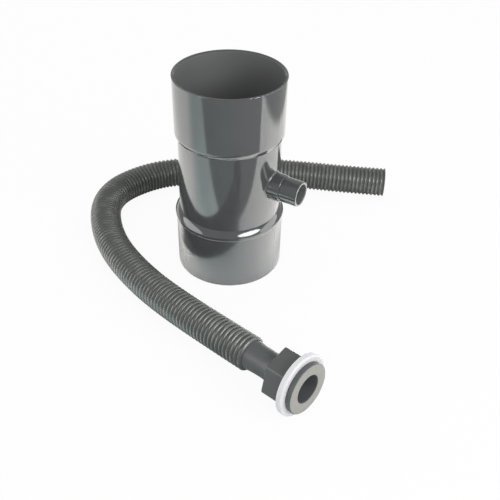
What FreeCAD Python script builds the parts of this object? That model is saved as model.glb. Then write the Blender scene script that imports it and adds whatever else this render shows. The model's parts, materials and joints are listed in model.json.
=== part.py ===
import FreeCAD, Part
import math
import os
import re

import Sketcher
from FreeCAD import Placement, Rotation, Vector

# Rainwater diverter for a 68 mm round downpipe, with its hose and tank connector.
# Frame: +Z up along the downpipe, +X along the outlet spout, origin at the centre of
# the lower mouth. The body stands on that mouth and the hose lies on the same floor.

# The driving dimensions, in millimetres and degrees: name, value, meaning.
SIZES = [
    ("pipe_bore", 69.2, "inside diameter of both sockets, for a 68 mm downpipe"),
    ("upper_wall", 2.1, "wall of the upper socket"),
    ("upper_depth", 39.5, "upper mouth to the ledge that stops the pipe"),
    ("lower_wall", 2.55, "wall of the lower socket"),
    ("lower_depth", 39.1, "lower mouth to the ledge above it"),
    ("pipe_stop", 1.8, "width of the ledges that stop the pipes"),
    ("barrel_wall", 2.0, "wall between the sockets"),
    ("barrel_length", 64.5, "lower ledge to upper ledge"),
    ("shoulder_slope", 2.6, "height of the cone under the upper socket"),
    ("shoulder_round", 5.5, "rounding between that cone and the upper socket"),
    ("bead_stand", 0.75, "how far the bead stands out of the lower socket"),
    ("bead_rise", 0.6, "lower ledge to the foot of the bead"),
    ("bead_width", 2.4, "height of the bead at the head of the lower socket"),
    ("flare_height", 4.0, "height of the cone above the bead"),
    ("lead_in", 1.0, "chamfer inside the upper mouth"),
    ("rim_round", 0.5, "rounding of the outer rims"),
    ("spout_rise", 33.0, "spout axis above the lower ledge"),
    ("spigot_diameter", 17.0, "spigot that the hose pushes on to"),
    ("spigot_length", 12.5, "spigot beyond the root"),
    ("spout_wall", 1.6, "wall of the spigot"),
    ("root_stand", 0.8, "how far the root stands out of the spigot"),
    ("root_length", 7.7, "root beyond the barrel"),
    ("root_fillet", 1.2, "fillet where the root meets the barrel"),
    ("ledge_width", 1.6, "inner ledge that carries the weir insert"),
    ("ledge_height", 2.5, "flat height of that ledge"),
    ("insert_clearance", 0.15, "radial gap round the weir insert"),
    ("drain_step", 1.6, "trough lip below the water way of the spout"),
    ("lip_height", 4.0, "outer lip of the trough, from the seat"),
    ("lip_wall", 1.8, "wall of the trough lip"),
    ("trough_floor", 2.0, "floor of the trough"),
    ("trough_width", 4.35, "trough between the lip and the weir tube"),
    ("weir_wall", 1.8, "wall of the weir tube"),
    ("weir_rise", 6.1, "weir top above the water way of the spout"),
    ("connector_x", 116.6, "centre of the connector's face"),
    ("connector_y", -102.5, "centre of the connector's face"),
    ("connector_turn", -11.9, "way the face looks, round from the spout"),
    ("connector_tilt", 4.0, "rise of the connector towards its face"),
    ("flange_diameter", 32.4, "round flange"),
    ("flange_thickness", 3.4, "round flange"),
    ("shank_diameter", 23.1, "thread, at its mean diameter"),
    ("shank_length", 18.0, "thread, from the back of the flange"),
    ("mouth_wall", 2.65, "wall between the thread and the bore at the face"),
    ("mouth_depth", 12.0, "depth of that bore"),
    ("mouth_cone", 4.0, "length of the cone below it"),
    ("thread_step", 1.15, "step from the thread in to the tail"),
    ("flare_length", 8.5, "thread to the waist"),
    ("waist_depth", 1.55, "from the step in to the waist"),
    ("waist_length", 2.0, "straight waist"),
    ("tail_wall", 2.1, "wall at the waist"),
    ("swell_height", 0.75, "from the waist out to the tail in the hose"),
    ("swell_length", 11.1, "waist to the end of the hose"),
    ("barb_count", 3, "barbs inside the hose"),
    ("barb_pitch", 4.6, "one barb to the next"),
    ("barb_depth", 0.8, "height of a barb"),
    ("seat_gap", 0.05, "gap between the faces that close on each other"),
    ("washer_diameter", 39.6, "sealing washer"),
    ("washer_thickness", 3.9, "sealing washer"),
    ("washer_gap", 0.65, "radial gap between washer and shank"),
    ("washer_round", 1.4, "rounding of the washer's front edge"),
    ("washer_edge", 0.4, "rounding of the washer's back edge"),
    ("thread_gap", 0.1, "radial gap between nut and shank"),
    ("nut_wall", 3.05, "thinnest wall of the backnut, at its flats"),
    ("nut_length", 13.9, "backnut"),
    ("nut_phase", 48.0, "turn of the nut's first corner, from level"),
    ("nut_chamfer", 0.8, "chamfer at both ends of the nut's bore"),
    ("hose_gap", 0.3, "radial gap between the tail and the hose"),
    ("hose_wall", 1.5, "mean bore of the hose to the crests of its rings"),
    ("first_run", 27.0, "hose straight out of the tail"),
]

# What follows from them. Heights are above the lower mouth, and the connector's
# distances are from its face, along its axis.
WORKED_OUT = {
    "pipe_radius": "pipe_bore / 2",
    "upper_radius": "pipe_radius + upper_wall",
    "lower_radius": "pipe_radius + lower_wall",
    "bead_radius": "lower_radius + bead_stand",
    "barrel_inside": "pipe_radius - pipe_stop",
    "barrel_radius": "barrel_inside + barrel_wall",
    "bead_foot": "lower_depth + bead_rise",
    "bead_top": "bead_foot + bead_width",
    "upper_ledge": "lower_depth + barrel_length",
    "overall_height": "upper_ledge + upper_depth",
    "spout_height": "lower_depth + spout_rise",
    "spigot_radius": "spigot_diameter / 2",
    "root_radius": "spigot_radius + root_stand",
    "water_radius": "spigot_radius - spout_wall",
    "root_end": "barrel_radius + root_length",
    "spout_end": "root_end + spigot_length",
    "ledge_inside": "barrel_inside - ledge_width",
    "seat": "spout_height - water_radius - drain_step - lip_height",
    "seat_under": "seat - ledge_height",
    "insert_radius": "barrel_inside - insert_clearance",
    "lip_inside": "insert_radius - lip_wall",
    "lip_top": "seat + lip_height",
    "trough_bottom": "seat + trough_floor",
    "weir_outside": "lip_inside - trough_width",
    "weir_inside": "weir_outside - weir_wall",
    "weir_top": "spout_height + water_radius + weir_rise",
    "flange_radius": "flange_diameter / 2",
    "shank_radius": "shank_diameter / 2",
    "mouth_radius": "shank_radius - mouth_wall",
    "flare_radius": "shank_radius - thread_step",
    "waist_radius": "flare_radius - waist_depth",
    "tail_radius": "waist_radius + swell_height",
    "tail_inside": "waist_radius - tail_wall",
    "thread_end": "flange_thickness + shank_length",
    "waist_start": "thread_end + flare_length",
    "swell_start": "waist_start + waist_length",
    "hose_entry": "swell_start + swell_length",
    "tail_end": "hose_entry + barb_pitch * barb_count",
    "washer_radius": "washer_diameter / 2",
    "washer_front": "flange_thickness + seat_gap",
    "washer_back": "washer_front + washer_thickness",
    "nut_front": "washer_back + seat_gap",
    "nut_back": "nut_front + nut_length",
    "nut_hole": "shank_radius + thread_gap",
    "nut_corner": "(nut_hole + nut_wall) / cos(30)",
    "hose_inside": "tail_radius + hose_gap",
    "hose_radius": "hose_inside + hose_wall",
}

# The hose's route over the floor, after its first straight run. Points in millimetres,
# round the back of the body to the open end. The last height is half the hose.
HOSE_ROUTE = [
    (7.6, -79.1, 13.0),
    (-23.5, -70.2, 11.6),
    (-55.6, -57.0, 11.4),
    (-79.9, -41.2, 11.4),
    (-100.7, -20.1, 11.4),
    (-108.9, -3.3, 11.4),
    (-109.9, 14.9, 11.4),
    (-101.0, 39.0, 11.4),
    (-86.5, 56.4, 11.4),
    (-60.5, 77.0, 11.4),
    (-28.8, 94.0, 11.4),
    (4.8, 109.1, 11.4),
    (37.9, 122.1, 11.4),
    (65.7, 134.5, 11.4),
]

# A bend takes this share of the shorter run on each side of its point.
BEND_SHARE = 0.45

# An edge is the one looked for when it lies this near to its place, in millimetres.
MATCH = 0.02

doc = FreeCAD.newDocument("rainwater_diverter")
sheet = doc.addObject("Spreadsheet::Sheet", "Sizes")
for row, (alias, value, meaning) in enumerate(SIZES, start=1):
    sheet.set("A%d" % row, alias)
    sheet.set("B%d" % row, str(value))
    sheet.setAlias("B%d" % row, alias)
    sheet.set("C%d" % row, meaning)
doc.recompute()


def formula(text):
    """Write a formula with the sheet's cells in place of the names."""
    cells = {alias for alias, value, meaning in SIZES}

    def cell(word):
        name = word[0]
        if name in WORKED_OUT:
            return "(%s)" % formula(WORKED_OUT[name])
        return "Sizes." + name if name in cells else name

    return re.sub("[a-z_]+", cell, text)


def worth(text):
    """Number that a formula gives with the sheet's present values."""
    value = sheet.evalExpression(formula(text))
    return float(getattr(value, "Value", value))


def new_body(label):
    """Empty body with its own name."""
    body = doc.addObject("PartDesign::Body", label)
    body.Label = label
    return body


def new_sketch(body, name, role, offset=None):
    """Sketch on one of the body's own planes, moved along the plane's normal by a formula."""
    sketch = body.newObject("Sketcher::SketchObject", name)
    plane = [feature for feature in body.Origin.OriginFeatures if feature.Role == role][0]
    sketch.AttachmentSupport = [(plane, "")]
    sketch.MapMode = "FlatFace"
    if offset is not None:
        sketch.setExpression(".AttachmentOffset.Base.z", formula(offset))
    return sketch


def hold(sketch, kind, geometry, end, text):
    """Hold one end of a line at a distance from the sketch's origin."""
    axis = {"DistanceX": -2, "DistanceY": -1}[kind]
    if text == "0":
        sketch.addConstraint(Sketcher.Constraint("PointOnObject", geometry, end, axis))
        return
    rule = Sketcher.Constraint(kind, -1, 1, geometry, end, worth(text))
    number = sketch.addConstraint(rule)
    sketch.setExpression("Constraints[%d]" % number, formula(text))


def outline(sketch, corners):
    """Closed outline. A corner is two formulas, and a third one is the radius of the
    arc that hollows the edge from that corner to the next."""
    places = [Vector(worth(corner[0]), worth(corner[1]), 0) for corner in corners]
    ends = []
    for number, corner in enumerate(corners):
        start = places[number]
        stop = places[(number + 1) % len(places)]
        if len(corner) == 2:
            edge = sketch.addGeometry(Part.LineSegment(start, stop))
            ends.append((edge, 1, 2))
            continue
        radius = worth(corner[2])
        chord = stop - start
        normal = Vector(-chord.y, chord.x, 0).normalize()
        sag = radius - math.sqrt(radius ** 2 - (chord.Length / 2) ** 2)
        middle = (start + stop) * 0.5 + normal * sag
        edge = sketch.addGeometry(Part.Arc(start, middle, stop))
        forward = sketch.getPoint(edge, 1).distanceToPoint(start) < chord.Length / 2
        ends.append((edge, 1, 2) if forward else (edge, 2, 1))
        number_of_rule = sketch.addConstraint(Sketcher.Constraint("Radius", edge, radius))
        sketch.setExpression("Constraints[%d]" % number_of_rule, formula(corner[2]))
    for number, (edge, first, last) in enumerate(ends):
        follower, follower_first = ends[(number + 1) % len(ends)][:2]
        sketch.addConstraint(Sketcher.Constraint("Coincident", edge, last, follower, follower_first))
        hold(sketch, "DistanceX", edge, first, corners[number][0])
        hold(sketch, "DistanceY", edge, first, corners[number][1])


def circle(sketch, radius, height="0"):
    """Circle above the sketch's origin."""
    centre = Vector(0, worth(height), 0)
    edge = sketch.addGeometry(Part.Circle(centre, Vector(0, 0, 1), worth(radius)))
    hold(sketch, "DistanceX", edge, 3, "0")
    hold(sketch, "DistanceY", edge, 3, height)
    number = sketch.addConstraint(Sketcher.Constraint("Radius", edge, worth(radius)))
    sketch.setExpression("Constraints[%d]" % number, formula(radius))


def turned(body, name, corners, kind="PartDesign::Revolution"):
    """Turn an outline in the XZ plane once round the body's Z axis."""
    sketch = new_sketch(body, name + "_outline", "XZ_Plane")
    outline(sketch, corners)
    feature = body.newObject(kind, name)
    feature.Profile = sketch
    feature.ReferenceAxis = (sketch, ["V_Axis"])
    feature.Angle = 360
    doc.recompute()
    return feature


def drawn_out(body, name, sketch, length):
    """Draw a sketch out along its normal."""
    feature = body.newObject("PartDesign::Pad", name)
    feature.Profile = sketch
    feature.Type = "Length"
    feature.setExpression("Length", formula(length))
    doc.recompute()
    return feature


def cut_through(body, name, sketch):
    """Cut a sketch through all that lies along its normal."""
    feature = body.newObject("PartDesign::Pocket", name)
    feature.Profile = sketch
    feature.Type = "ThroughAll"
    feature.Reversed = True
    doc.recompute()
    return feature


def round_edges(body, name, kind, distance, chosen):
    """Fillet or chamfer the edges of the body's tip that a test chooses."""
    tip = body.Tip
    edges = ["Edge%d" % (number + 1) for number, edge in enumerate(tip.Shape.Edges) if chosen(edge)]
    if not edges:
        raise RuntimeError("no edge for " + name)
    feature = body.newObject(kind, name)
    feature.Base = (tip, edges)
    feature.setExpression("Radius" if kind.endswith("Fillet") else "Size", formula(distance))
    doc.recompute()
    return feature


def is_ring(edge, radius, place, axis="z"):
    """True for a whole circle of this radius whose centre has this coordinate on the axis."""
    if not isinstance(edge.Curve, Part.Circle):
        return False
    at_place = abs(getattr(edge.Curve.Center, axis) - worth(place)) < MATCH
    along = abs(getattr(edge.Curve.Axis, axis)) > 1 - MATCH
    return along and at_place and abs(edge.Curve.Radius - worth(radius)) < MATCH


def ring_among(edge, rings, axis="z"):
    """True for a circle that is one of these pairs of radius and place."""
    return any(is_ring(edge, radius, place, axis) for radius, place in rings)


def meets_barrel(edge):
    """True for the curve where the spout's root meets the outside of the barrel."""
    if isinstance(edge.Curve, (Part.Circle, Part.Line)):
        return False
    middle = edge.valueAt((edge.FirstParameter + edge.LastParameter) / 2)
    return middle.x > 0 and abs(math.hypot(middle.x, middle.y) - worth("barrel_radius")) < MATCH


def arc_radius(step, length):
    """Radius of an arc that starts along the axis and moves out by step in length."""
    return "((%s) ^ 2 + (%s) ^ 2) / 2 / (%s)" % (step, length, step)


def make_diverter_body():
    """One moulding: two sockets, the barrel between them, the spout and the inner ledge."""
    body = new_body("diverter_body")
    turned(body, "outer_form", [
        ("0", "0"),
        ("lower_radius", "0"),
        ("lower_radius", "bead_foot - bead_stand"),
        ("bead_radius", "bead_foot"),
        ("bead_radius", "bead_top"),
        ("barrel_radius", "bead_top + flare_height"),
        ("barrel_radius", "upper_ledge - shoulder_slope"),
        ("upper_radius", "upper_ledge"),
        ("upper_radius", "overall_height"),
        ("0", "overall_height"),
    ])
    root = new_sketch(body, "root_circle", "YZ_Plane")
    circle(root, "root_radius", "spout_height")
    drawn_out(body, "spout_root", root, "root_end")
    spigot = new_sketch(body, "spigot_circle", "YZ_Plane")
    circle(spigot, "spigot_radius", "spout_height")
    drawn_out(body, "spout_spigot", spigot, "spout_end")
    round_edges(body, "root_edge", "PartDesign::Fillet", "root_stand / 2",
                lambda edge: is_ring(edge, "root_radius", "root_end", "x"))
    round_edges(body, "root_blend", "PartDesign::Fillet", "root_fillet", meets_barrel)
    turned(body, "inner_form", [
        ("0", "0"),
        ("pipe_radius", "0"),
        ("pipe_radius", "lower_depth"),
        ("barrel_inside", "lower_depth"),
        ("barrel_inside", "seat_under - ledge_width"),
        ("ledge_inside", "seat_under"),
        ("ledge_inside", "seat"),
        ("barrel_inside", "seat"),
        ("barrel_inside", "upper_ledge"),
        ("pipe_radius", "upper_ledge"),
        ("pipe_radius", "overall_height"),
        ("0", "overall_height"),
    ], "PartDesign::Groove")
    way = new_sketch(body, "water_way_circle", "YZ_Plane")
    circle(way, "water_radius", "spout_height")
    cut_through(body, "water_way", way)
    round_edges(body, "upper_lead_in", "PartDesign::Chamfer", "lead_in",
                lambda edge: is_ring(edge, "pipe_radius", "overall_height"))
    rims = [("lower_radius", "0"), ("upper_radius", "overall_height")]
    round_edges(body, "outer_rims", "PartDesign::Fillet", "rim_round",
                lambda edge: ring_among(edge, rims))
    round_edges(body, "shoulder", "PartDesign::Fillet", "shoulder_round",
                lambda edge: is_ring(edge, "upper_radius", "upper_ledge"))
    bead = [("bead_radius", "bead_foot"), ("bead_radius", "bead_top")]
    round_edges(body, "bead_rounding", "PartDesign::Fillet", "bead_width / 4",
                lambda edge: ring_among(edge, bead))
    mouth = [("spigot_radius", "spout_end"), ("water_radius", "spout_end")]
    round_edges(body, "spout_rim", "PartDesign::Fillet", "spout_wall / 4",
                lambda edge: ring_among(edge, mouth, "x"))
    return body


def make_weir_insert():
    """Ring trough that takes the water off the wall, with the weir tube inside it."""
    body = new_body("weir_insert")
    turned(body, "trough", [
        ("weir_inside", "seat"),
        ("insert_radius", "seat"),
        ("insert_radius", "lip_top"),
        ("lip_inside", "lip_top"),
        ("lip_inside", "trough_bottom"),
        ("weir_outside", "trough_bottom"),
        ("weir_outside", "weir_top"),
        ("weir_inside", "weir_top"),
    ])
    rim = [("weir_outside", "weir_top"), ("weir_inside", "weir_top")]
    round_edges(body, "weir_rim", "PartDesign::Fillet", "weir_wall / 4",
                lambda edge: ring_among(edge, rim))
    corners = [("weir_outside", "trough_bottom"), ("lip_inside", "trough_bottom")]
    round_edges(body, "trough_corners", "PartDesign::Fillet", "trough_floor / 2",
                lambda edge: ring_among(edge, corners))
    return body


def connector_placement():
    """Local Z runs from the connector's face back along the tail. The washer's back edge
    rests on the floor."""
    turn = math.radians(worth("connector_turn"))
    tilt = math.radians(worth("connector_tilt"))
    forward = Vector(math.cos(turn) * math.cos(tilt), math.sin(turn) * math.cos(tilt), math.sin(tilt))
    level = forward.cross(Vector(0, 0, 1)).normalize()
    height = worth("washer_radius - washer_edge") * math.cos(tilt)
    height += worth("washer_back - washer_edge") * math.sin(tilt) + worth("washer_edge")
    centre = Vector(worth("connector_x"), worth("connector_y"), height)
    upward = level.cross(forward)
    return Placement(centre, Rotation(level, upward, forward * -1, "ZXY"))


def make_connector_body():
    """One moulding: round flange, threaded shank, waisted tail and barbs."""
    body = new_body("connector_body")
    corners = [
        ("mouth_radius", "0"),
        ("flange_radius", "0"),
        ("flange_radius", "flange_thickness"),
        ("shank_radius", "flange_thickness"),
        ("shank_radius", "thread_end"),
        ("flare_radius", "thread_end", arc_radius("waist_depth", "flare_length")),
        ("waist_radius", "waist_start"),
        ("waist_radius", "swell_start", arc_radius("swell_height", "swell_length")),
        ("tail_radius", "hose_entry"),
    ]
    barbs = int(worth("barb_count"))
    for barb in range(barbs):
        corners.append(("tail_radius", "hose_entry + barb_pitch * %d + barb_pitch / 2" % barb))
        corners.append(("tail_radius - barb_depth", "hose_entry + barb_pitch * %d" % (barb + 1)))
        if barb + 1 < barbs:
            corners.append(("tail_radius", "hose_entry + barb_pitch * %d" % (barb + 1)))
    corners.append(("tail_inside", "tail_end"))
    corners.append(("tail_inside", "mouth_depth + mouth_cone"))
    corners.append(("mouth_radius", "mouth_depth"))
    turned(body, "turned_form", corners)
    flange = [("flange_radius", "0"), ("flange_radius", "flange_thickness")]
    round_edges(body, "flange_rounding", "PartDesign::Fillet", "flange_thickness / 6",
                lambda edge: ring_among(edge, flange))
    round_edges(body, "mouth_rounding", "PartDesign::Fillet", "flange_thickness / 8",
                lambda edge: is_ring(edge, "mouth_radius", "0"))
    body.Placement = connector_placement()
    return body


def make_sealing_washer():
    """Soft washer behind the flange, wider than the flange, with a rounded front edge."""
    body = new_body("sealing_washer")
    turned(body, "ring", [
        ("shank_radius + washer_gap", "washer_front"),
        ("washer_radius", "washer_front"),
        ("washer_radius", "washer_back"),
        ("shank_radius + washer_gap", "washer_back"),
    ])
    round_edges(body, "front_rounding", "PartDesign::Fillet", "washer_round",
                lambda edge: is_ring(edge, "washer_radius", "washer_front"))
    round_edges(body, "back_rounding", "PartDesign::Fillet", "washer_edge",
                lambda edge: is_ring(edge, "washer_radius", "washer_back"))
    body.Placement = connector_placement()
    return body


def make_hex_nut():
    """Backnut on the shank. Its thread is plain here, at the mean diameter."""
    body = new_body("hex_nut")
    hexagon = new_sketch(body, "hexagon", "XY_Plane", "nut_front")
    corners = []
    for corner in range(6):
        angle = "(nut_phase + %d)" % (60 * corner)
        corners.append(("nut_corner * cos" + angle, "nut_corner * sin" + angle))
    outline(hexagon, corners)
    drawn_out(body, "prism", hexagon, "nut_length")
    hole = new_sketch(body, "bore_circle", "XY_Plane", "nut_front")
    circle(hole, "nut_hole")
    cut_through(body, "bore", hole)
    ends = [("nut_hole", "nut_front"), ("nut_hole", "nut_back")]
    round_edges(body, "bore_chamfers", "PartDesign::Chamfer", "nut_chamfer",
                lambda edge: ring_among(edge, ends))
    body.Placement = connector_placement()
    return body


def smooth_route(points):
    """Wire of straight runs joined by tangent arcs, and the arcs' radii."""
    runs = [(after - before).Length for before, after in zip(points, points[1:])]
    ways = [(after - before).normalize() for before, after in zip(points, points[1:])]
    edges = []
    radii = []
    start = points[0]
    for number in range(1, len(points) - 1):
        way_in, way_out = ways[number - 1], ways[number]
        half_turn = way_in.getAngle(way_out) / 2
        trim = BEND_SHARE * min(runs[number - 1], runs[number])
        radius = trim / math.tan(half_turn)
        arc_start = points[number] - way_in * trim
        arc_end = points[number] + way_out * trim
        inward = (way_out - way_in).normalize()
        middle = points[number] + inward * (radius / math.cos(half_turn) - radius)
        edges.append(Part.LineSegment(start, arc_start).toShape())
        edges.append(Part.Arc(arc_start, middle, arc_end).toShape())
        radii.append(radius)
        start = arc_end
    edges.append(Part.LineSegment(start, points[-1]).toShape())
    return Part.Wire(edges), radii


def make_corrugated_hose():
    """Hose over the tail, then along the floor. Its rings are left to the finish."""
    placement = connector_placement()
    entry = placement.multVec(Vector(0, 0, worth("hose_entry")))
    first_bend = placement.multVec(Vector(0, 0, worth("hose_entry + first_run")))
    points = [entry, first_bend] + [Vector(*point) for point in HOSE_ROUTE]
    route, radii = smooth_route(points)
    print("hose starts at", [round(value, 3) for value in entry])
    print("hose first bend at", [round(value, 3) for value in first_bend])
    print("hose bend radii, mm:", [round(radius) for radius in radii])
    way = (first_bend - entry).normalize()
    outer = Part.Wire(Part.makeCircle(worth("hose_radius"), entry, way))
    inner = Part.Wire(Part.makeCircle(worth("hose_inside"), entry, way))
    tube = route.makePipe(Part.Face(outer)).cut(route.makePipe(Part.Face(inner)))
    section = math.pi * (worth("hose_radius") ** 2 - worth("hose_inside") ** 2)
    print("hose length %.1f mm, volume %.4f of section times length"
          % (route.Length, tube.Volume / (section * route.Length)))
    hose = doc.addObject("Part::Feature", "corrugated_hose")
    hose.Shape = tube
    hose.Label = "corrugated_hose"
    return hose


pieces = [
    make_diverter_body(),
    make_weir_insert(),
    make_connector_body(),
    make_sealing_washer(),
    make_hex_nut(),
    make_corrugated_hose(),
]
doc.recompute()

for item in doc.Objects:
    if "Invalid" in item.State or "Error" in item.State:
        raise RuntimeError("%s failed: %s" % (item.Name, item.State))

os.makedirs("parts", exist_ok=True)
for piece in pieces:
    shape = piece.Shape
    if shape.isNull() or not shape.isValid() or not shape.Solids:
        raise RuntimeError(piece.Label + " has no valid solid")
    box = shape.BoundBox
    print("%s: %d solid, %.0f mm3, x %.2f..%.2f y %.2f..%.2f z %.3f..%.3f"
          % (piece.Label, len(shape.Solids), shape.Volume,
             box.XMin, box.XMax, box.YMin, box.YMax, box.ZMin, box.ZMax))
    shape.exportStep("parts/%s.step" % piece.Label)
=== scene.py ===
import json
import math
from bisect import bisect_right

import bpy
from bpy.props import FloatProperty, FloatVectorProperty, IntProperty, PointerProperty
from mathutils import Matrix, Vector


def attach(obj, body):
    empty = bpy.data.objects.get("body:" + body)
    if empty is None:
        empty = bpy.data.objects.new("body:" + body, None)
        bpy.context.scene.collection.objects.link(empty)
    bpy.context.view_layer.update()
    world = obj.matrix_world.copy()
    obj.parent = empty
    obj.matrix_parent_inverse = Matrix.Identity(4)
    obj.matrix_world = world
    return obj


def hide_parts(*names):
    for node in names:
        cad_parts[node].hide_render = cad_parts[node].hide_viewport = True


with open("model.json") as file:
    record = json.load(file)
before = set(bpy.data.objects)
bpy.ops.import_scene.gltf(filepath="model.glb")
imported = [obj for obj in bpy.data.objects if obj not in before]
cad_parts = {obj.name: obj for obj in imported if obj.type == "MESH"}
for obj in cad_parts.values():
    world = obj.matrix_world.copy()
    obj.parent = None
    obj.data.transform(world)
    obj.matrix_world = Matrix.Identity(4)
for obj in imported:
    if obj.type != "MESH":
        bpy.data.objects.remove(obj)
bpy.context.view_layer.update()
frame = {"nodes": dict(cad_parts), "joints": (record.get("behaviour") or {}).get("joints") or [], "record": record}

bl_info = {
    "name": "Rainwater Diverter",
    "version": (1, 0, 0),
    "blender": (4, 5, 0),
    "location": "View3D > Sidebar > Diverter",
    "description": "Finishes a rainwater diverter, its corrugated hose and its tank connector",
    "category": "Object",
}

MM = 0.001
MICRON = 0.000001

# Degrees between two faces from which an edge is hard, on moulded pieces and on the hose's cut ends.
HARD_EDGE = 32
CUT_EDGE = 70

# The photograph's camera, in metres, and its frame in pixels.
CAMERA_PLACE = Vector((0.22151, -0.35449, 0.33546))
CAMERA_FORWARD = Vector((-0.39033, 0.67831, -0.62254))
CAMERA_UP = Vector((-0.33142, 0.52732, 0.78236))
PHOTO_SIDE = 500
FOCAL_PIXELS = 720.0
SENSOR_WIDTH = 36.0

FLOOR_TURN = math.radians(32)
FLOOR_HALF = 3.0
FLOOR_DROP = 0.05 * MM

# The hose's route, from its first bend after the tail to the open end, in metres.
HOSE_ROUTE = [
    (0.0076, -0.0791, 0.0130),
    (-0.0235, -0.0702, 0.0116),
    (-0.0556, -0.0570, 0.0114),
    (-0.0799, -0.0412, 0.0114),
    (-0.1007, -0.0201, 0.0114),
    (-0.1089, -0.0033, 0.0114),
    (-0.1099, 0.0149, 0.0114),
    (-0.1010, 0.0390, 0.0114),
    (-0.0865, 0.0564, 0.0114),
    (-0.0605, 0.0770, 0.0114),
    (-0.0288, 0.0940, 0.0114),
    (0.0048, 0.1091, 0.0114),
    (0.0379, 0.1221, 0.0114),
    (0.0657, 0.1345, 0.0114),
]


def length(name, description, millimetres):
    """Size in metres that a user can change."""
    return FloatProperty(name=name, description=description, default=millimetres * MM,
                         min=0, precision=5, subtype="DISTANCE", unit="LENGTH")


def angle(name, description, degrees):
    """Angle that a user can change."""
    return FloatProperty(name=name, description=description, default=math.radians(degrees),
                         subtype="ANGLE", unit="ROTATION")


def number(name, description, default, top=1.0):
    """Plain number from nought to a limit."""
    return FloatProperty(name=name, description=description, default=default, min=0, max=top)


def colour(name, description, default):
    """Colour in linear red, green and blue."""
    return FloatVectorProperty(name=name, description=description, default=default,
                               size=3, min=0, max=1, subtype="COLOR")


class BodySettings(bpy.types.PropertyGroup):
    """Glossy moulded plastic of the diverter and its weir."""
    plastic: colour("Plastic", "Colour of the moulded body", (0.073, 0.077, 0.080))
    # Painted light: paler than the outside plastic, to lift the shade that falls inside the sockets and the spout.
    inside: colour("Inside", "Colour inside the sockets", (0.172, 0.174, 0.174))
    roughness: number("Roughness", "Roughness of the outside", 0.07)
    inside_roughness: number("Inside roughness", "Roughness inside the sockets", 0.45)
    ripple: length("Ripple", "Height of the ripple that the mould left", 0.09)
    cone_foot: length("Cone foot", "Height of the foot of the lower socket's cone", 42.1)
    cone_top: length("Cone top", "Height of the top of that cone", 46.1)
    cone_round: length("Cone rounding", "How far that cone looks swelled between them", 0.22)


class HoseSettings(bpy.types.PropertyGroup):
    """Corrugated hose."""
    plastic: colour("Plastic", "Colour of the hose", (0.074, 0.079, 0.074))
    # Painted light and shade, partly wear: this paler crest colour against the darker grooves stands in for the
    # shade in the grooves.
    crest_sheen_and_scuff: colour("Scuffs", "Colour of the rubbed crests", (0.190, 0.195, 0.178))
    roughness: number("Roughness", "Roughness of the crests", 0.26)
    diameter: length("Diameter", "Over the crests of the rings", 22.8)
    pitch: length("Ring pitch", "From one ring to the next", 3.15)
    depth: length("Ring depth", "From crest to valley", 1.15)
    groove_power: number("Groove power", "The higher, the wider the crests beside the grooves", 1.7, 5)
    wall: length("Wall", "Thickness of the plastic", 0.6)
    first_run: length("First run", "Straight stretch out of the tail", 27.0)
    steps: IntProperty(name="Steps", description="Rings of points for each corrugation", default=8, min=4)
    around: IntProperty(name="Around", description="Points round the hose", default=52, min=12)


class ConnectorSettings(bpy.types.PropertyGroup):
    """Tank connector and its backnut."""
    plastic: colour("Plastic", "Colour of the connector and the nut", (0.084, 0.092, 0.094))
    # Painted reflection: a paler colour on the flange face stands in for the bright floor that the face reflects.
    painted_sheen: colour("Worn face", "Colour of the dull worn face of the flange", (0.350, 0.350, 0.325))
    roughness: number("Roughness", "Roughness of the plastic", 0.42)
    mouth_radius: length("Mouth radius", "Bore at the face", 8.9)
    mouth_depth: length("Mouth depth", "Depth of that bore", 12.0)
    mouth_cone: length("Mouth cone", "Cone from the mouth to the tail's bore", 4.0)
    mouth_round: length("Mouth rounding", "Rounded edge of the bore at the face", 0.45)
    flange_radius: length("Flange radius", "Round flange", 16.2)
    flange_thickness: length("Flange", "Thickness of the round flange", 3.4)
    flange_round: length("Flange rounding", "Rounded edges of the flange", 0.55)
    thread_radius: length("Thread radius", "Mean radius of the thread", 11.55)
    thread_length: length("Thread length", "From the back of the flange", 18.0)
    thread_pitch: length("Thread pitch", "One turn of the right-hand thread", 2.0)
    thread_depth: length("Thread depth", "From crest to root", 0.9)
    thread_gap: length("Thread gap", "Radial gap between the two threads", 0.12)
    flare_radius: length("Flare radius", "Tail where it leaves the thread", 10.4)
    flare_length: length("Flare length", "Thread to waist", 8.5)
    waist_radius: length("Waist radius", "Narrowest part of the tail", 8.85)
    waist_length: length("Waist length", "Straight part of the waist", 2.0)
    swell_length: length("Swell length", "Waist to the end of the hose", 11.1)
    tail_radius: length("Tail radius", "Tail inside the hose", 9.6)
    tail_bore: length("Tail bore", "Radius of the water way in the tail", 6.75)
    barb_depth: length("Barb depth", "Height of a barb", 0.8)
    barb_pitch: length("Barb pitch", "One barb to the next", 4.6)
    barbs: IntProperty(name="Barbs", description="Barbs inside the hose", default=3, min=1)
    nut_apothem: length("Nut", "Axis to the flats of the nut", 14.7)
    nut_bevel: length("Nut bevel", "Bevel along the nut's outer edges", 0.4)
    nut_chamfer: length("Nut chamfer", "Chamfer at the mouths of its thread", 0.8)
    nut_phase: angle("Nut turn", "Turn of the nut's first corner", 48)
    around: IntProperty(name="Around", description="Points round the turned pieces", default=144, min=24)


class WasherSettings(bpy.types.PropertyGroup):
    """Sealing washer."""
    rubber: colour("Rubber", "Colour of the washer", (0.79, 0.79, 0.81))
    roughness: number("Roughness", "Roughness of the rubber", 0.5)


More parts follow.
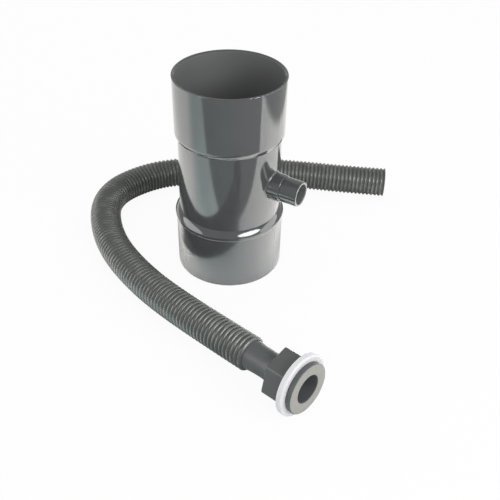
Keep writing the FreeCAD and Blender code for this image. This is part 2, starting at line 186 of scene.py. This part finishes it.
class StageSettings(bpy.types.PropertyGroup):
    """Floor and light."""
    floor: colour("Floor", "Colour of the floor", (0.90, 0.90, 0.90))
    floor_white: number("Floor white", "Share of plain white in the floor as the camera sees it", 0.94)
    room_light: number("Room light", "Strength of the light from all round", 0.80, 5)
    lamp_glow: number("Lamp", "Radiance of the lamp to the right of the camera", 4.2, 200)
    lamp_shine: number("Lamp shine", "Radiance that only gloss sees on top of the lamp's", 17.0, 200)
    lamp_width: length("Lamp width", "Width of the lamp", 600)
    lamp_height: length("Lamp height", "Height of the lamp", 260)
    lamp_turn: angle("Lamp turn", "Right of the camera", 44)
    lamp_rise: angle("Lamp rise", "Above the floor", 33)
    lamp_reach: length("Lamp reach", "From the kit to the lamp", 800)
    card_shine: number("Card shine", "Radiance of the cards, which only gloss sees", 4.6, 200)
    card_width: length("Card width", "Width of the card at each side", 850)
    card_height: length("Card height", "Height of the card at each side", 360)
    left_turn: angle("Left card", "Turn of the left card from the camera", -80)
    right_turn: angle("Right card", "Turn of the right card from the camera", 92)
    card_rise: angle("Card rise", "Above the floor", 20)
    card_reach: length("Card reach", "From the kit to each card", 850)
    sheet_glow: number("Sheet shine", "How much brighter gloss shows the lit floor", 4.9, 50)
    sheet_rest: number("Sheet rest", "How bright gloss shows the rest of the floor", 0.85, 50)
    sheet_front: length("Sheet front", "From the downpipe's axis to the front edge of the lit floor", 107)


class Term:
    """Socket of a node, so that shader maths reads as sums."""

    def __init__(self, paint, socket):
        self.paint = paint
        self.socket = socket

    def maths(self, operation, first, second):
        """Math node on two terms or numbers."""
        return self.paint.node("ShaderNodeMath", {"operation": operation}, {0: first, 1: second})

    def __add__(self, other):
        return self.maths("ADD", self, other)

    def __radd__(self, other):
        return self.maths("ADD", other, self)

    def __sub__(self, other):
        return self.maths("SUBTRACT", self, other)

    def __rsub__(self, other):
        return self.maths("SUBTRACT", other, self)

    def __mul__(self, other):
        return self.maths("MULTIPLY", self, other)

    def __rmul__(self, other):
        return self.maths("MULTIPLY", other, self)

    def __truediv__(self, other):
        return self.maths("DIVIDE", self, other)

    def __rtruediv__(self, other):
        return self.maths("DIVIDE", other, self)


class Paint:
    """Nodes of a material or a world, made one by one."""

    def __init__(self, holder):
        self.holder = holder
        self.holder.use_nodes = True
        self.tree = self.holder.node_tree
        self.tree.nodes.clear()

    def node(self, kind, settings=None, inputs=None, output=0):
        """Add a node, set it, feed its sockets and give back one of its outputs."""
        node = self.tree.nodes.new(kind)
        for name, value in (settings or {}).items():
            setattr(node, name, value)
        for name, value in (inputs or {}).items():
            if isinstance(value, Term):
                self.tree.links.new(value.socket, node.inputs[name])
            else:
                node.inputs[name].default_value = value
        return Term(self, node.outputs[output]) if node.outputs else None

    def place(self, scale=(1, 1, 1)):
        """Point on the object in metres, with each axis scaled."""
        point = self.node("ShaderNodeTexCoord", output="Object")
        return self.node("ShaderNodeVectorMath", {"operation": "MULTIPLY"}, {0: point, 1: scale})

    def axes(self, *names):
        """Point on the object in metres, one number for each axis that is named."""
        split = self.node("ShaderNodeSeparateXYZ", {}, {"Vector": self.place()})
        return [Term(self, split.socket.node.outputs[name]) for name in names]

    def noise(self, scale, detail=2.0, stretch=(1, 1, 1)):
        """Noise from nought to one, with this many waves to the metre."""
        return self.node("ShaderNodeTexNoise", {},
                         {"Vector": self.place(stretch), "Scale": scale, "Detail": detail})

    def between(self, low, high, value, kind="SMOOTHSTEP"):
        """Step from nought to one as the value goes from low to high."""
        return self.node("ShaderNodeMapRange", {"interpolation_type": kind},
                         {"Value": value, "From Min": low, "From Max": high})

    def above_nought(self, value):
        """The value where it is above nought, and nought elsewhere."""
        return self.node("ShaderNodeMath", {"operation": "MAXIMUM"}, {0: value, 1: 0.0})

    def reach(self, vector):
        """Length of a vector."""
        return self.node("ShaderNodeVectorMath", {"operation": "LENGTH"}, {0: vector}, output="Value")

    def away_from(self, point, scale=(1, 1, 1)):
        """Distance from a point, with each axis scaled, so that a nought leaves its axis out."""
        gap = self.node("ShaderNodeVectorMath", {"operation": "SUBTRACT"}, {0: self.place(scale), 1: point})
        return self.reach(gap)

    def blend(self, factor, first, second):
        """Colour between two colours."""
        colours = [value if isinstance(value, Term) else (*value, 1) for value in (first, second)]
        return self.node("ShaderNodeMix", {"data_type": "RGBA"},
                         {0: factor, 6: colours[0], 7: colours[1]}, output=2)

    def bump(self, height, distance, after=None):
        """Normal from a height from nought to one and the distance that one stands for."""
        inputs = {"Height": height, "Distance": distance}
        if after is not None:
            inputs["Normal"] = after
        return self.node("ShaderNodeBump", {}, inputs)

    def mottle(self, cloud, plain, darker, paler):
        """Colour that a cloud shifts between these two shares of a plain colour."""
        return self.blend(cloud, [darker * part for part in plain], [paler * part for part in plain])

    def surface(self, base, roughness, normal, ior):
        """Finish a material with a principled surface."""
        inputs = {"Base Color": base, "Roughness": roughness, "Normal": normal, "IOR": ior}
        return self.finish(self.node("ShaderNodeBsdfPrincipled", {}, inputs))

    def finish(self, shader, kind="ShaderNodeOutputMaterial"):
        """Finish with a shader, and give back the material or the world."""
        self.node(kind, {}, {"Surface": shader})
        return self.holder


def gloss_plastic(settings):
    """Polished moulding with a faint ripple, dust-fine pits and a duller inside, which is painted paler to lift
    the shade inside the sockets.
    """
    paint = Paint(bpy.data.materials.new("gloss_plastic"))
    ahead, up = paint.axes("X", "Z")
    # Inside is whatever lies within the sockets' bore or the spout's, up to a hair beyond the wall.
    skin_start, skin_end = 0.04 * MM, 0.14 * MM
    bore, _ = round_mount("upper_socket")
    spout_bore, spout_level = round_mount("spout_bore")
    off_pipe = paint.reach(paint.place((1, 1, 0)))
    off_spout = paint.away_from((0, 0, spout_level), (0, 1, 1))
    past_socket = paint.between(bore + skin_start, bore + skin_end, off_pipe)
    past_spout = paint.between(spout_bore + skin_start, spout_bore + skin_end, off_spout)
    in_spout = (1 - past_spout) * paint.between(0, bore, ahead, "LINEAR")
    outside = past_socket * (1 - in_spout)
    cloud = paint.noise(45, detail=3)
    inner = settings.inside_roughness
    roughness = inner + outside * (settings.roughness - inner) + 0.03 * cloud
    # Painted light: inside the sockets and the spout, the paler inside colour lifts the shade there.
    base = paint.blend(outside, settings.inside, paint.mottle(cloud, settings.plastic, 0.9, 1.12))
    ripple = paint.bump(paint.noise(60, detail=1, stretch=(1, 1, 0.12)), settings.ripple)
    climb = paint.between(settings.cone_foot, settings.cone_top, up, "LINEAR")
    swelled = paint.bump(4 * climb * (1 - climb) * outside, settings.cone_round, ripple)
    pits = paint.bump(paint.noise(1400, detail=2), 1.5 * MICRON, swelled)
    return paint.surface(base, roughness, pits, ior=1.52)


def hose_plastic(settings):
    """Dull flexible plastic, paler along the crests of its rings: partly painted shade in the grooves, partly
    rubbed wear mottled along the crests.
    """
    paint = Paint(bpy.data.materials.new("hose_plastic"))
    crest = paint.node("ShaderNodeAttribute", {"attribute_name": "crest"}, output="Fac")
    # Painted shade in the grooves and rubbed wear on the crests: the crests turn paler, broken up by noise.
    crest_sheen_and_rub = paint.between(0.62, 1.0, crest) * paint.between(0.45, 0.75, paint.noise(160, detail=4))
    base = paint.blend(crest_sheen_and_rub, settings.plastic, settings.crest_sheen_and_scuff)
    roughness = settings.roughness + 0.2 * (1 - crest) + 0.08 * paint.noise(300, detail=3)
    grain = paint.bump(paint.noise(2600, detail=3), 10 * MICRON)
    return paint.surface(base, roughness, grain, ior=1.5)


def fitting_plastic(settings):
    """Satin moulded plastic with a fine grain, and a painted reflection that makes the face of the flange paler.
    """
    paint = Paint(bpy.data.materials.new("fitting_plastic"))
    cloud = paint.noise(120, detail=4)
    face = paint.node("ShaderNodeAttribute", {"attribute_name": "face"}, output="Fac")
    # Painted reflection: the face rows of the flange take the paler face colour.
    base = paint.blend(face, paint.mottle(cloud, settings.plastic, 0.88, 1.15), settings.painted_sheen)
    roughness = settings.roughness + 0.12 * cloud
    grain = paint.bump(paint.noise(1800, detail=4), 14 * MICRON)
    return paint.surface(base, roughness, grain, ior=1.5)


def washer_rubber(settings):
    """Soft white rubber, a little uneven."""
    paint = Paint(bpy.data.materials.new("washer_rubber"))
    cloud = paint.noise(200, detail=4)
    base = paint.mottle(cloud, settings.rubber, 0.94, 1)
    roughness = settings.roughness + 0.1 * cloud
    grain = paint.bump(paint.noise(1500, detail=3), 12 * MICRON)
    return paint.surface(base, roughness, grain, ior=1.45)


def round_mount(mount_name):
    """Radius and height of one of the record's round mounts, in metres."""
    for mount in frame["record"]["mounts"]:
        if mount["name"] == mount_name:
            return mount["dims"]["r_mm"] * MM, mount["pos_m"][2]
    raise RuntimeError("the record has no mount " + mount_name)


def connector_place():
    """Matrix from the connector's own axes: origin at its face, Z back along the tail."""
    turn = next(joint for joint in frame["joints"] if joint["name"] == "nut_turn")
    back = Vector(turn["axis"]).normalized()
    level = Vector((0, 0, 1)).cross(back).normalized()
    upward = back.cross(level)
    start = Vector(turn["pos_m"])
    reach = [(vertex.co - start).dot(back) for vertex in frame["nodes"]["connector_body"].data.vertices]
    face = start + back * min(reach)
    return Matrix.Translation(face) @ Matrix((level, upward, back)).transposed().to_4x4()


def span_along(node, place):
    """Least and greatest depth of a node of the frame along the connector's axis."""
    inward = place.inverted()
    depths = [(inward @ vertex.co).z for vertex in frame["nodes"][node].data.vertices]
    return min(depths), max(depths)


def ring_mesh(name, rings, sharp):
    """Hollow piece from closed rings of points, each joined to the next and the last to the first."""
    around = len(rings[0])
    faces = []
    for row in range(len(rings)):
        near = row * around
        far = (row + 1) % len(rings) * around
        for step in range(around):
            after = (step + 1) % around
            faces.append((near + step, near + after, far + after, far + step))
    mesh = bpy.data.meshes.new(name)
    mesh.from_pydata([point for ring in rings for point in ring], [], faces)
    mesh.update()
    mesh.shade_smooth()
    mesh.set_sharp_from_angle(angle=math.radians(sharp))
    piece = bpy.data.objects.new(name, mesh)
    bpy.context.scene.collection.objects.link(piece)
    return piece


def turned_rings(profile, around, place, start=0.0):
    """Rings about the connector's axis. A point of the profile is a radius, or a radius for
    each angle, and a depth."""
    rings = []
    for radius, depth in profile:
        ring = []
        for step in range(around):
            angle = start + 2 * math.pi * step / around
            reach = radius(angle) if callable(radius) else radius
            ring.append(place @ Vector((reach * math.cos(angle), reach * math.sin(angle), depth)))
        rings.append(ring)
    return rings


def rounded(before, corner, after, radius, steps=5):
    """Points of an arc in place of a corner of a profile."""
    before, corner, after = Vector(before), Vector(corner), Vector(after)
    way_in = (before - corner).normalized()
    way_out = (after - corner).normalized()
    half = way_in.angle(way_out) / 2
    centre = corner + (way_in + way_out).normalized() * radius / math.sin(half)
    first = corner + way_in * radius / math.tan(half) - centre
    last = corner + way_out * radius / math.tan(half) - centre
    turn = first.angle(last)
    points = []
    for step in range(steps + 1):
        part = step / steps
        spoke = (first * math.sin((1 - part) * turn) + last * math.sin(part * turn)) / math.sin(turn)
        points.append(tuple(centre + spoke))
    return points


def hollowed(flat_radius, flat_depth, end_radius, end_depth, steps=12):
    """Points of an arc that leaves a straight stretch and opens out to its end."""
    rise = end_radius - flat_radius
    run = abs(end_depth - flat_depth)
    sweep = (rise ** 2 + run ** 2) / (2 * rise)
    points = []
    for step in range(steps + 1):
        part = step / steps
        away = run * part
        points.append((flat_radius + sweep - math.sqrt(sweep ** 2 - away ** 2),
                       flat_depth + (end_depth - flat_depth) * part))
    return points


def thread_rows(settings, first, last, offset, fade_to):
    """Rows of a right-hand thread between two depths. It fades to a plain radius at both."""
    pitch = settings.thread_pitch
    rows_in_turn = 10
    fade = 0.75 * pitch
    rows = []
    count = max(2, round(abs(last - first) / pitch * rows_in_turn))

    def row(depth):
        ends = min(abs(depth - first), abs(depth - last))
        body = min(1.0, ends / fade)

        def radius(angle):
            turn = depth / pitch - angle / (2 * math.pi)
            wave = math.cos(2 * math.pi * turn)
            cut = settings.thread_radius + offset + settings.thread_depth / 2 * wave
            return fade_to + (cut - fade_to) * body

        return radius, depth

    for step in range(count + 1):
        rows.append(row(first + (last - first) * step / count))
    return rows


class Route:
    """Smooth line with its distances, so that rings can be set along it."""

    def __init__(self, points):
        self.points = points
        self.marks = [0.0]
        for before, after in zip(points, points[1:]):
            self.marks.append(self.marks[-1] + (after - before).length)
        ends = [points[0]] + points + [points[-1]]
        self.ways = [(after - before).normalized() for before, after in zip(ends, ends[2:])]

    def at(self, distance):
        """Point and direction at a distance from the start."""
        index = min(bisect_right(self.marks, distance), len(self.marks) - 1) - 1
        part = (distance - self.marks[index]) / (self.marks[index + 1] - self.marks[index])
        point = self.points[index].lerp(self.points[index + 1], part)
        way = self.ways[index].lerp(self.ways[index + 1], part).normalized()
        return point, way


def smooth_line(controls):
    """Points of the smooth curve that has these control points."""
    curve = bpy.data.curves.new("hose_line", "CURVE")
    curve.dimensions = "3D"
    curve.resolution_u = 40
    spline = curve.splines.new("NURBS")
    spline.points.add(len(controls) - 1)
    for knot, control in zip(spline.points, controls):
        knot.co = (*control, 1)
    spline.order_u = 3
    spline.use_endpoint_u = True
    holder = bpy.data.objects.new("hose_line", curve)
    line = bpy.data.meshes.new_from_object(holder)
    points = [vertex.co.copy() for vertex in line.vertices]
    bpy.data.objects.remove(holder)
    bpy.data.curves.remove(curve)
    bpy.data.meshes.remove(line)
    return points


def hose_ring(route, distance, radius, around):
    """Closed ring of points square to the route."""
    centre, way = route.at(distance)
    side = way.cross(Vector((0, 0, 1))).normalized()
    upward = way.cross(side)
    ring = []
    for step in range(around):
        angle = 2 * math.pi * step / around
        ring.append(centre + side * radius * math.cos(angle) + upward * radius * math.sin(angle))
    return ring


class DIVERTER_OT_camera(bpy.types.Operator):
    """Set the camera as it stood in the photograph"""
    bl_idname = "diverter.camera"
    bl_label = "Camera"

    def execute(self, context):
        lens = bpy.data.cameras.new("camera")
        lens.sensor_width = SENSOR_WIDTH
        lens.lens = FOCAL_PIXELS * SENSOR_WIDTH / PHOTO_SIDE
        lens.clip_start = 0.01
        camera = bpy.data.objects.new("camera", lens)
        right = CAMERA_FORWARD.cross(CAMERA_UP).normalized()
        upward = right.cross(CAMERA_FORWARD).normalized()
        turn = Matrix((right, upward, -CAMERA_FORWARD.normalized())).transposed()
        camera.matrix_world = Matrix.Translation(CAMERA_PLACE) @ turn.to_4x4()
        context.scene.collection.objects.link(camera)
        context.scene.camera = camera
        return {"FINISHED"}


class DIVERTER_OT_hose(bpy.types.Operator):
    """Lay the corrugated hose along its route"""
    bl_idname = "diverter.hose"
    bl_label = "Corrugated hose"

    def execute(self, context):
        settings = context.scene.diverter_hose
        place = connector_place()
        connector = context.scene.diverter_connector
        entry = (connector.flange_thickness + connector.thread_length + connector.flare_length
                 + connector.waist_length + connector.swell_length)
        controls = [place @ Vector((0, 0, entry)), place @ Vector((0, 0, entry + settings.first_run))]
        controls += [Vector(point) for point in HOSE_ROUTE]
        route = Route(smooth_line(controls))
        total = route.marks[-1]
        crest = settings.diameter / 2
        rings_along = round(total / settings.pitch)

        def groove(distance):
            """Depth of the groove from nought on a crest to one. The hose is cut in a groove at the
            connector and on a crest at its open end."""
            turn = 2 * math.pi * distance / total * (rings_along + 0.5)
            return (0.5 + 0.5 * math.cos(turn)) ** settings.groove_power

        outer_steps = rings_along * settings.steps
        inner_steps = outer_steps // 2
        outer = [total * step / outer_steps for step in range(outer_steps + 1)]
        inner = [total * (1 - step / inner_steps) for step in range(inner_steps + 1)]
        rings = [hose_ring(route, distance, crest - settings.depth * groove(distance), settings.around)
                 for distance in outer]
        rings += [hose_ring(route, distance, crest - settings.wall - settings.depth * groove(distance),
                            settings.around) for distance in inner]
        hose = ring_mesh("hose", rings, CUT_EDGE)
        height = hose.data.attributes.new("crest", "FLOAT", "POINT")
        values = [1 - groove(distance) for distance in outer + inner for step in range(settings.around)]
        height.data.foreach_set("value", values)
        hose.data.materials.append(hose_plastic(settings))
        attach(hose, "root")
        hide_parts("corrugated_hose")
        hose["exit"] = list(controls[0])
        hose["path"] = [list(route.at(distance)[0]) for distance in outer]
        return {"FINISHED"}


class DIVERTER_OT_connector(bpy.types.Operator):
    """Turn the tank connector, with its thread, waisted tail and barbs"""
    bl_idname = "diverter.connector"
    bl_label = "Tank connector"

    def execute(self, context):
        settings = context.scene.diverter_connector
        place = connector_place()
        mouth = settings.mouth_radius
        flange = settings.flange_radius
        back = settings.flange_thickness
        thread_end = back + settings.thread_length
        waist_start = thread_end + settings.flare_length
        waist_end = waist_start + settings.waist_length
        entry = waist_end + settings.swell_length
        core = settings.thread_radius - settings.thread_depth / 2
        profile = rounded((mouth, back), (mouth, 0), (flange, 0), settings.mouth_round)
        inner_edge = len(profile) - 1
        profile += rounded((mouth, 0), (flange, 0), (flange, back), settings.flange_round)
        profile += rounded((flange, 0), (flange, back), (core, back), settings.flange_round)
        profile += thread_rows(settings, back, thread_end, 0.0, core)
        profile += reversed(hollowed(settings.waist_radius, waist_start, settings.flare_radius, thread_end))
        profile += hollowed(settings.waist_radius, waist_end, settings.tail_radius, entry)
        for barb in range(settings.barbs):
            foot = entry + barb * settings.barb_pitch
            profile.append((settings.tail_radius, foot + settings.barb_pitch / 2))
            profile.append((settings.tail_radius - settings.barb_depth, foot + settings.barb_pitch))
            if barb < settings.barbs - 1:
                profile.append((settings.tail_radius, foot + settings.barb_pitch))
        end = entry + settings.barbs * settings.barb_pitch
        profile.append((settings.tail_bore, end))
        profile.append((settings.tail_bore, settings.mouth_depth + settings.mouth_cone))
        profile.append((mouth, settings.mouth_depth))
        connector = ring_mesh("connector", turned_rings(profile, settings.around, place), HARD_EDGE)
        # Marks the face rows of the flange, which get the painted reflection colour.
        painted_sheen = connector.data.attributes.new("face", "FLOAT", "POINT")
        values = [float(row in (inner_edge, inner_edge + 1)) for row in range(len(profile))
                  for step in range(settings.around)]
        painted_sheen.data.foreach_set("value", values)
        connector.data.materials.append(fitting_plastic(settings))
        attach(connector, "root")
        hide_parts("connector_body")
        return {"FINISHED"}


class DIVERTER_OT_backnut(bpy.types.Operator):
    """Make the hexagonal backnut with its thread"""
    bl_idname = "diverter.backnut"
    bl_label = "Backnut"

    def execute(self, context):
        settings = context.scene.diverter_connector
        place = connector_place()
        front, back = span_along("hex_nut", place)
        flats = [settings.nut_phase + math.radians(30 + 60 * flat) for flat in range(6)]
        corner_power = 48

        def hexagon(inset):
            """Radius of the six flats at each angle. The power keeps the corners a little round."""
            def radius(angle):
                faces = sum(max(0.0, math.cos(angle - flat)) ** corner_power for flat in flats)
                return settings.nut_apothem / faces ** (1 / corner_power) - inset
            return radius

        bevel = settings.nut_bevel
        chamfer = settings.nut_chamfer
        root = settings.thread_radius + settings.thread_depth / 2 + settings.thread_gap
        profile = [
            (root + chamfer / 2, front),
            (hexagon(bevel), front),
            (hexagon(0.0), front + bevel),
            (hexagon(0.0), back - bevel),
            (hexagon(bevel), back),
            (root + chamfer / 2, back),
        ]
        profile += thread_rows(settings, back - chamfer, front + chamfer, settings.thread_gap, root)
        rings = turned_rings(profile, settings.around, place, settings.nut_phase)
        nut = ring_mesh("backnut", rings, HARD_EDGE)
        nut.data.materials.append(bpy.data.materials["fitting_plastic"])
        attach(nut, "nut")
        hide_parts("hex_nut")
        return {"FINISHED"}


class DIVERTER_OT_body(bpy.types.Operator):
    """Finish the diverter body and the weir in it"""
    bl_idname = "diverter.body"
    bl_label = "Diverter body and weir"

    def execute(self, context):
        plastic = gloss_plastic(context.scene.diverter_body)
        for name in ("diverter_body", "weir_insert"):
            for slot in frame["nodes"][name].material_slots:
                slot.material = plastic
        return {"FINISHED"}


class DIVERTER_OT_washer(bpy.types.Operator):
    """Finish the sealing washer"""
    bl_idname = "diverter.washer"
    bl_label = "Sealing washer"

    def execute(self, context):
        rubber = washer_rubber(context.scene.diverter_washer)
        for slot in frame["nodes"]["sealing_washer"].material_slots:
            slot.material = rubber
        return {"FINISHED"}


# This step does nothing: the hose is not declared or marked here.
class DIVERTER_OT_cord(bpy.types.Operator):
    bl_idname = "diverter.cord"
    bl_label = "Declare the hose"

    def execute(self, context):
        return {"FINISHED"}


class DIVERTER_OT_stage(bpy.types.Operator):
    """Lay the floor and hang the lights"""
    bl_idname = "diverter.stage"
    bl_label = "Stage"

    def execute(self, context):
        settings = context.scene.diverter_stage
        mesh = bpy.data.meshes.new("floor")
        corners = [(-1, -1), (1, -1), (1, 1), (-1, 1)]
        mesh.from_pydata([(x * FLOOR_HALF, y * FLOOR_HALF, 0) for x, y in corners], [], [(0, 1, 2, 3)])
        floor = bpy.data.objects.new("floor", mesh)
        floor.location.z = -FLOOR_DROP
        floor.rotation_euler.z = FLOOR_TURN
        context.scene.collection.objects.link(floor)
        mesh.materials.append(floor_paint(settings))
        self.hang_lamps(context, settings)
        self.light_room(context, settings)
        context.scene.view_settings.view_transform = "Standard"
        return {"FINISHED"}

    def add_area(self, context, name, wide, high, glow):
        """Oval lamp of a given radiance."""
        lamp = bpy.data.lights.new(name, "AREA")
        lamp.shape = "ELLIPSE"
        lamp.size = wide
        lamp.size_y = high
        area = math.pi / 4 * wide * high
        lamp.energy = glow * math.pi * area
        holder = bpy.data.objects.new(name, lamp)
        context.scene.collection.objects.link(holder)
        return holder

    def hang(self, lamp, turn, rise, reach):
        view = -CAMERA_FORWARD
        turn += math.atan2(view.y, view.x)
        way = Vector((math.cos(turn) * math.cos(rise), math.sin(turn) * math.cos(rise), math.sin(rise)))
        facing = way.to_track_quat("Z", "Y").to_matrix().to_4x4()
        lamp.matrix_world = Matrix.Translation(way * reach) @ facing

    def hang_lamps(self, context, settings):
        """One soft lamp, with a second just in front of it that only gloss sees, and two cards."""
        wide, high = settings.lamp_width, settings.lamp_height
        lamp = self.add_area(context, "lamp", wide, high, settings.lamp_glow)
        self.hang(lamp, settings.lamp_turn, settings.lamp_rise, settings.lamp_reach)
        shine = self.add_area(context, "lamp_shine", wide, high, settings.lamp_shine)
        self.hang(shine, settings.lamp_turn, settings.lamp_rise, settings.lamp_reach - 10 * MM)
        shine.visible_diffuse = False
        for name, turn in (("left_card", settings.left_turn), ("right_card", settings.right_turn)):
            card = self.add_area(context, name, settings.card_width, settings.card_height,
                                 settings.card_shine)
            self.hang(card, turn, settings.card_rise, settings.card_reach)
            card.visible_diffuse = False

    def light_room(self, context, settings):
        """White room: white where the camera looks at it, softer as light."""
        paint = Paint(bpy.data.worlds.new("room"))
        seen = paint.node("ShaderNodeLightPath", output="Is Camera Ray")
        white, soft = [paint.node("ShaderNodeBackground", {}, {"Color": (1, 1, 1, 1), "Strength": share})
                       for share in (1.0, settings.room_light)]
        mix = paint.node("ShaderNodeMixShader", {}, {0: seen, 1: soft, 2: white})
        context.scene.world = paint.finish(mix, "ShaderNodeOutputWorld")


def sheet_brightness(paint, settings, across, along, off_axis, near):
    """Brightness of the floor as gloss shows it: a lit sheet that is dim straight behind the
    downpipe and near the camera, and ends at a front edge and at the right."""
    level = paint.between(1.20, -0.60, along / off_axis, "LINEAR")
    just_left = paint.between(0, -35 * MM, across) * paint.between(-125 * MM, -60 * MM, across)
    far_left = paint.between(-150 * MM, -230 * MM, across)
    side = 1.06 + 0.34 * just_left - 0.2 * far_left
    dim = 1 - near * (0.25 + 0.27 * paint.between(60 * MM, -60 * MM, across))
    # The front edge comes nearer to the camera at both sides, and is softer at the left.
    left = paint.above_nought(-20 * MM - across)
    right = paint.above_nought(across - 165 * MM)
    soft = 4 * MM + 0.05 * left
    front = paint.between(0 - soft, soft, along + settings.sheet_front + 0.37 * (left + right))
    right_end = paint.between(270 * MM, 240 * MM, across + 0.3 * along)
    return level * side * dim * front * right_end


def sheet_shadow(paint, across, along, off_axis):
    under_body = paint.between(75 * MM, 40 * MM, paint.away_from((0, 30 * MM, 0)))
    clear = paint.node("ShaderNodeAmbientOcclusion", {"samples": 8}, {"Distance": 30 * MM}, output="AO")
    under_hose = paint.between(60 * MM, 85 * MM, off_axis) * paint.between(1.0, 0.35, clear)
    # In front the hose also throws a shadow towards the body.
    off_bend = paint.away_from((38 * MM, 10 * MM, 0))
    band = paint.between(94 * MM, 99 * MM, off_bend) * paint.between(122 * MM, 116 * MM, off_bend)
    thrown = band * paint.between(40 * MM, 18 * MM, across) * paint.between(18 * MM, -6 * MM, along)
    return (1 - under_body) * (1 - under_hose) * (1 - thrown)


def floor_paint(settings):
    """White floor. Gloss sees a lit sheet, warm white at the back and cool white in front at
    the left."""
    paint = Paint(bpy.data.materials.new("floor"))
    across, along = paint.axes("X", "Y")
    off_axis = paint.away_from((0, 0, 0))
    near = paint.between(0, -90 * MM, along)
    lit_share = sheet_brightness(paint, settings, across, along, off_axis, near)
    lit_share = lit_share * sheet_shadow(paint, across, along, off_axis)
    shine = settings.sheet_rest + settings.sheet_glow * lit_share
    warm_white, cool_white = (1, 0.99, 0.96), (0.85, 1, 0.99)
    tint = paint.blend(near * paint.between(90 * MM, -30 * MM, across), warm_white, cool_white)
    tinted = paint.node("ShaderNodeVectorMath", {"operation": "SCALE"}, {0: tint, "Scale": shine})
    lit = paint.node("ShaderNodeBsdfDiffuse", {}, {"Color": (*settings.floor, 1)})
    glossed = paint.node("ShaderNodeBsdfDiffuse", {}, {"Color": tinted})
    white = paint.node("ShaderNodeEmission", {}, {"Color": (1, 1, 1, 1), "Strength": 1.0})
    seen = paint.node("ShaderNodeLightPath", output="Is Camera Ray")
    gloss = paint.node("ShaderNodeLightPath", output="Is Glossy Ray")
    other = paint.node("ShaderNodeMixShader", {}, {0: gloss, 1: lit, 2: glossed})
    paint.holder.cycles.emission_sampling = "NONE"
    mix = paint.node("ShaderNodeMixShader", {}, {0: settings.floor_white * seen, 1: other, 2: white})
    return paint.finish(mix)


class DIVERTER_PT_panel(bpy.types.Panel):
    """Sizes, colours and the steps that make the scene"""
    bl_idname = "DIVERTER_PT_panel"
    bl_label = "Rainwater Diverter"
    bl_space_type = "VIEW_3D"
    bl_region_type = "UI"
    bl_category = "Diverter"

    def draw(self, context):
        for title, group in SETTINGS.items():
            box = self.layout.box()
            box.label(text=title.replace("diverter_", "").capitalize())
            for name in group.__annotations__:
                box.prop(getattr(context.scene, title), name)
        for step in STEPS:
            self.layout.operator(step.bl_idname)


SETTINGS = {
    "diverter_body": BodySettings,
    "diverter_hose": HoseSettings,
    "diverter_connector": ConnectorSettings,
    "diverter_washer": WasherSettings,
    "diverter_stage": StageSettings,
}

STEPS = (
    DIVERTER_OT_camera,
    DIVERTER_OT_hose,
    DIVERTER_OT_connector,
    DIVERTER_OT_backnut,
    DIVERTER_OT_cord,
    DIVERTER_OT_body,
    DIVERTER_OT_washer,
    DIVERTER_OT_stage,
)


def register():
    """Make the settings, the steps and the panel known."""
    for name, group in SETTINGS.items():
        bpy.utils.register_class(group)
        setattr(bpy.types.Scene, name, PointerProperty(type=group))
    for step in STEPS:
        bpy.utils.register_class(step)
    bpy.utils.register_class(DIVERTER_PT_panel)


def unregister():
    """Take them away again."""
    bpy.utils.unregister_class(DIVERTER_PT_panel)
    for step in reversed(STEPS):
        bpy.utils.unregister_class(step)
    for name, group in reversed(SETTINGS.items()):
        delattr(bpy.types.Scene, name)
        bpy.utils.unregister_class(group)


def main():
    """Dress the frame piece by piece."""
    register()
    bpy.ops.diverter.camera()
    bpy.ops.diverter.hose()
    bpy.ops.diverter.connector()
    bpy.ops.diverter.backnut()
    bpy.ops.diverter.cord()
    bpy.ops.diverter.body()
    bpy.ops.diverter.washer()
    bpy.ops.diverter.stage()


if __name__ == "__main__":
    main()
